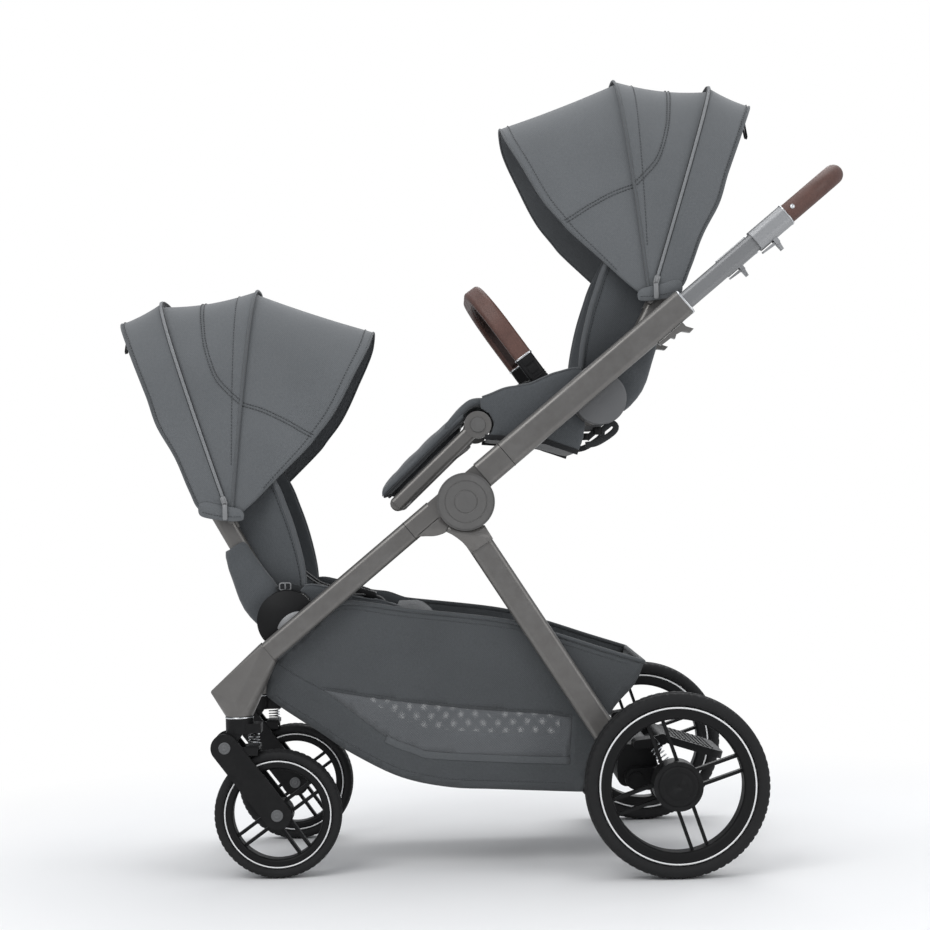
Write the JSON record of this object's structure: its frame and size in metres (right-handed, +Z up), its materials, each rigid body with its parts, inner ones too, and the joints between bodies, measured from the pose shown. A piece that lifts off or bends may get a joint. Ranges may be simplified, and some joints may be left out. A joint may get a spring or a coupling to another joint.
{
  "type": "tandem stroller",
  "caption": "Folding tandem stroller with an upper seat facing forward, a lower seat facing back, canopies, storage basket, sprung casters and a telescopic push bar.",
  "frame": {"origin": "on the floor under the middle of the whole stroller", "axes": "+Z up, -X toward the front wheels, -Y toward the left side of the stroller"},
  "size_m": [1.1956, 0.606, 1.289],
  "materials": {
    "frame": "fine textured powder coat",
    "tube_metal": "brushed anodised",
    "steel": "bright",
    "black_plastic": "fine grained",
    "grey_plastic": "fine grained",
    "tyre": "matte rubber",
    "leather": "stitched, soft sheen",
    "canopy_fabric": "heathered plain weave",
    "seat_fabric": "heathered plain weave",
    "basket_fabric": "heathered plain weave"
  },
  "bodies": {
    "rear_frame": {"rear_leg_tubes": "frame", "rear_leg_connectors": "frame", "rear_axle_housing": "black_plastic", "rear_springs": "steel", "basket": "basket_fabric"},
    "front_frame": {"front_leg_tubes": "frame", "front_leg_connectors": "frame", "front_knuckles": "frame", "front_crossbar": "frame", "hub_covers": "frame"},
    "upper_frame": {"upper_tubes": "frame", "upper_connectors": "frame"},
    "fold_triggers": {"fold_triggers": "frame"},
    "handle": {"handle_tubes": "tube_metal", "handle_sleeves": "tube_metal", "handle_grip": "leather"},
    "handle_triggers": {"handle_triggers": "tube_metal"},
    "brake_pedal": {"brake_pedal": "black_plastic"},
    "bumper_bar": {"bumper_grip": "leather", "bumper_ends": "black_plastic"},
    "rear_arm_left": {"rear_arm_left": "black_plastic"},
    "rear_wheel_left": {"rear_tyre_left": "tyre", "rear_rim_left": "black_plastic"},
    "caster_left": {"caster_left": "black_plastic", "front_spring_left": "steel"},
    "fork_left": {"fork_left": "black_plastic"},
    "front_wheel_left": {"front_tyre_left": "tyre", "front_rim_left": "black_plastic"},
    "rear_arm_right": {"rear_arm_right": "black_plastic"},
    "rear_wheel_right": {"rear_tyre_right": "tyre", "rear_rim_right": "black_plastic"},
    "caster_right": {"caster_right": "black_plastic", "front_spring_right": "steel"},
    "fork_right": {"fork_right": "black_plastic"},
    "front_wheel_right": {"front_tyre_right": "tyre", "front_rim_right": "black_plastic"},
    "upper_seat": {"upper_seat_frame": "grey_plastic", "upper_seat_tub": "seat_fabric", "upper_seat_pad": "seat_fabric"},
    "upper_back": {"upper_back_frame": "frame", "upper_back_shell": "seat_fabric", "upper_back_pad": "seat_fabric", "upper_canopy_rear": "canopy_fabric"},
    "upper_canopy_mid": {"upper_canopy_mid": "canopy_fabric"},
    "upper_canopy_visor": {"upper_canopy_visor": "canopy_fabric"},
    "upper_legrest": {"upper_legrest_frame": "frame", "upper_legrest_pad": "seat_fabric"},
    "lower_seat": {"lower_seat_frame": "black_plastic", "lower_seat_tub": "seat_fabric", "lower_seat_pad": "seat_fabric"},
    "lower_back": {"lower_back_frame": "frame", "lower_back_shell": "seat_fabric", "lower_back_pad": "seat_fabric", "lower_canopy_rear": "canopy_fabric"},
    "lower_canopy_mid": {"lower_canopy_mid": "canopy_fabric"},
    "lower_canopy_visor": {"lower_canopy_visor": "canopy_fabric"},
    "lower_legrest": {"lower_legrest_frame": "frame", "lower_legrest_pad": "seat_fabric"},
    "legrest_button_left": {"legrest_button_left": "grey_plastic"},
    "legrest_button_right": {"legrest_button_right": "grey_plastic"}
  },
  "joints": [
    {"name": "chassis_fold", "type": "hinge", "parent": "rear_frame", "child": "front_frame", "pos_m": [-0.03206, 0, 0.586], "axis": [0, -1, 0], "range_deg": [0, 46], "deforming": ["basket"]},
    {"name": "upper_fold", "type": "hinge", "parent": "rear_frame", "child": "upper_frame", "pos_m": [-0.03206, 0, 0.586], "axis": [0, 1, 0], "range_deg": [0, 39.1], "deforming": ["basket"]},
    {"name": "fold_trigger_pull", "type": "slide", "parent": "upper_frame", "child": "fold_triggers", "axis": [0.7772, 0, 0.6293], "range_m": [0, 0.01], "stiffness_N_per_m": 400, "springref_m": -0.004},
    {"name": "handle_slide", "type": "slide", "parent": "upper_frame", "child": "handle", "axis": [0.7772, 0, 0.6293], "range_m": [-0.12, 0.03]},
    {"name": "handle_trigger_pull", "type": "hinge", "parent": "handle", "child": "handle_triggers", "pos_m": [0.47611, 0, 0.98655], "axis": [0, -1, 0], "range_deg": [0, 10], "stiffness_Nm_per_rad": 0.4, "springref_deg": -8.59},
    {"name": "brake_pedal_press", "type": "hinge", "parent": "rear_frame", "child": "brake_pedal", "pos_m": [0.27993, 0, 0.1885], "axis": [0, 1, 0], "range_deg": [0, 12], "stiffness_Nm_per_rad": 4, "springref_deg": -17.19},
    {"name": "rear_suspension_left", "type": "hinge", "parent": "rear_frame", "child": "rear_arm_left", "pos_m": [0.22293, -0.208, 0.1443], "axis": [0, -1, 0], "range_deg": [0, 7], "stiffness_Nm_per_rad": 80, "springref_deg": -6.88, "deforming": ["rear_springs"]},
    {"name": "rear_wheel_spin_left", "type": "hinge", "parent": "rear_arm_left", "child": "rear_wheel_left", "pos_m": [0.27993, -0.279, 0.1425], "axis": [0, 1, 0], "continuous": true},
    {"name": "caster_swivel_left", "type": "hinge", "parent": "front_frame", "child": "caster_left", "pos_m": [-0.40007, -0.18, 0.27], "axis": [0, 0, 1], "continuous": true},
    {"name": "front_suspension_left", "type": "hinge", "parent": "caster_left", "child": "fork_left", "pos_m": [-0.42207, -0.18, 0.209], "axis": [0, -1, 0], "range_deg": [0, 8], "stiffness_Nm_per_rad": 80, "springref_deg": -6.88, "deforming": ["front_spring_left"]},
    {"name": "front_wheel_spin_left", "type": "hinge", "parent": "fork_left", "child": "front_wheel_left", "pos_m": [-0.34207, -0.18, 0.101], "axis": [0, 1, 0], "continuous": true},
    {"name": "rear_suspension_right", "type": "hinge", "parent": "rear_frame", "child": "rear_arm_right", "pos_m": [0.22293, 0.208, 0.1443], "axis": [0, -1, 0], "range_deg": [0, 7], "stiffness_Nm_per_rad": 80, "springref_deg": -6.88, "deforming": ["rear_springs"]},
    {"name": "rear_wheel_spin_right", "type": "hinge", "parent": "rear_arm_right", "child": "rear_wheel_right", "pos_m": [0.27993, 0.279, 0.1425], "axis": [0, 1, 0], "continuous": true},
    {"name": "caster_swivel_right", "type": "hinge", "parent": "front_frame", "child": "caster_right", "pos_m": [-0.40007, 0.18, 0.27], "axis": [0, 0, 1], "continuous": true},
    {"name": "front_suspension_right", "type": "hinge", "parent": "caster_right", "child": "fork_right", "pos_m": [-0.42207, 0.18, 0.209], "axis": [0, -1, 0], "range_deg": [0, 8], "stiffness_Nm_per_rad": 80, "springref_deg": -6.88, "deforming": ["front_spring_right"]},
    {"name": "front_wheel_spin_right", "type": "hinge", "parent": "fork_right", "child": "front_wheel_right", "pos_m": [-0.34207, 0.18, 0.101], "axis": [0, 1, 0], "continuous": true},
    {"name": "upper_seat_lift", "type": "slide", "parent": "upper_frame", "child": "upper_seat", "axis": [0, 0, -1], "range_m": [-0.12, 0]},
    {"name": "upper_recline", "type": "hinge", "parent": "upper_seat", "child": "upper_back", "pos_m": [0.18814, 0, 0.74629], "axis": [0, 1, 0], "range_deg": [0, 15]},
    {"name": "upper_canopy_mid_fold", "type": "hinge", "parent": "upper_back", "child": "upper_canopy_mid", "pos_m": [0.27443, 0, 0.90197], "axis": [0, -1, 0], "range_deg": [-22, 0]},
    {"name": "upper_canopy_visor_fold", "type": "hinge", "parent": "upper_canopy_mid", "child": "upper_canopy_visor", "pos_m": [0.27443, 0, 0.90197], "axis": [0, -1, 0], "range_deg": [-26, 0]},
    {"name": "upper_legrest_tilt", "type": "hinge", "parent": "upper_seat", "child": "upper_legrest", "pos_m": [-0.00886, 0, 0.70929], "axis": [0, -1, 0], "range_deg": [-25, 35]},
    {"name": "lower_seat_lift", "type": "slide", "parent": "front_frame", "child": "lower_seat", "axis": [0, 0, -1], "range_m": [-0.12, 0]},
    {"name": "lower_recline", "type": "hinge", "parent": "lower_seat", "child": "lower_back", "pos_m": [-0.32214, 0, 0.41031], "axis": [0, -1, 0], "range_deg": [0, 30]},
    {"name": "lower_canopy_mid_fold", "type": "hinge", "parent": "lower_back", "child": "lower_canopy_mid", "pos_m": [-0.40843, 0, 0.56599], "axis": [0, 1, 0], "range_deg": [-22, 0]},
    {"name": "lower_canopy_visor_fold", "type": "hinge", "parent": "lower_canopy_mid", "child": "lower_canopy_visor", "pos_m": [-0.40843, 0, 0.56599], "axis": [0, 1, 0], "range_deg": [-26, 0]},
    {"name": "lower_legrest_tilt", "type": "hinge", "parent": "lower_seat", "child": "lower_legrest", "pos_m": [-0.12514, 0, 0.37331], "axis": [0, 1, 0], "range_deg": [-25, 35]},
    {"name": "legrest_button_press_left", "type": "slide", "parent": "upper_legrest", "child": "legrest_button_left", "axis": [0, 1, 0], "range_m": [0, 0.003], "stiffness_N_per_m": 900, "springref_m": -0.002},
    {"name": "legrest_button_press_right", "type": "slide", "parent": "upper_legrest", "child": "legrest_button_right", "axis": [0, -1, 0], "range_m": [0, 0.003], "stiffness_N_per_m": 900, "springref_m": -0.002},
    {"name": "bumper_bar_pull", "type": "slide", "parent": "upper_seat", "child": "bumper_bar", "axis": [-0.5736, 0, 0.8192], "range_m": [0, 0.06]}
  ],
  "couplings": [
    {"joint": "upper_fold", "follows": "chassis_fold", "ratio": 0.85}
  ]
}
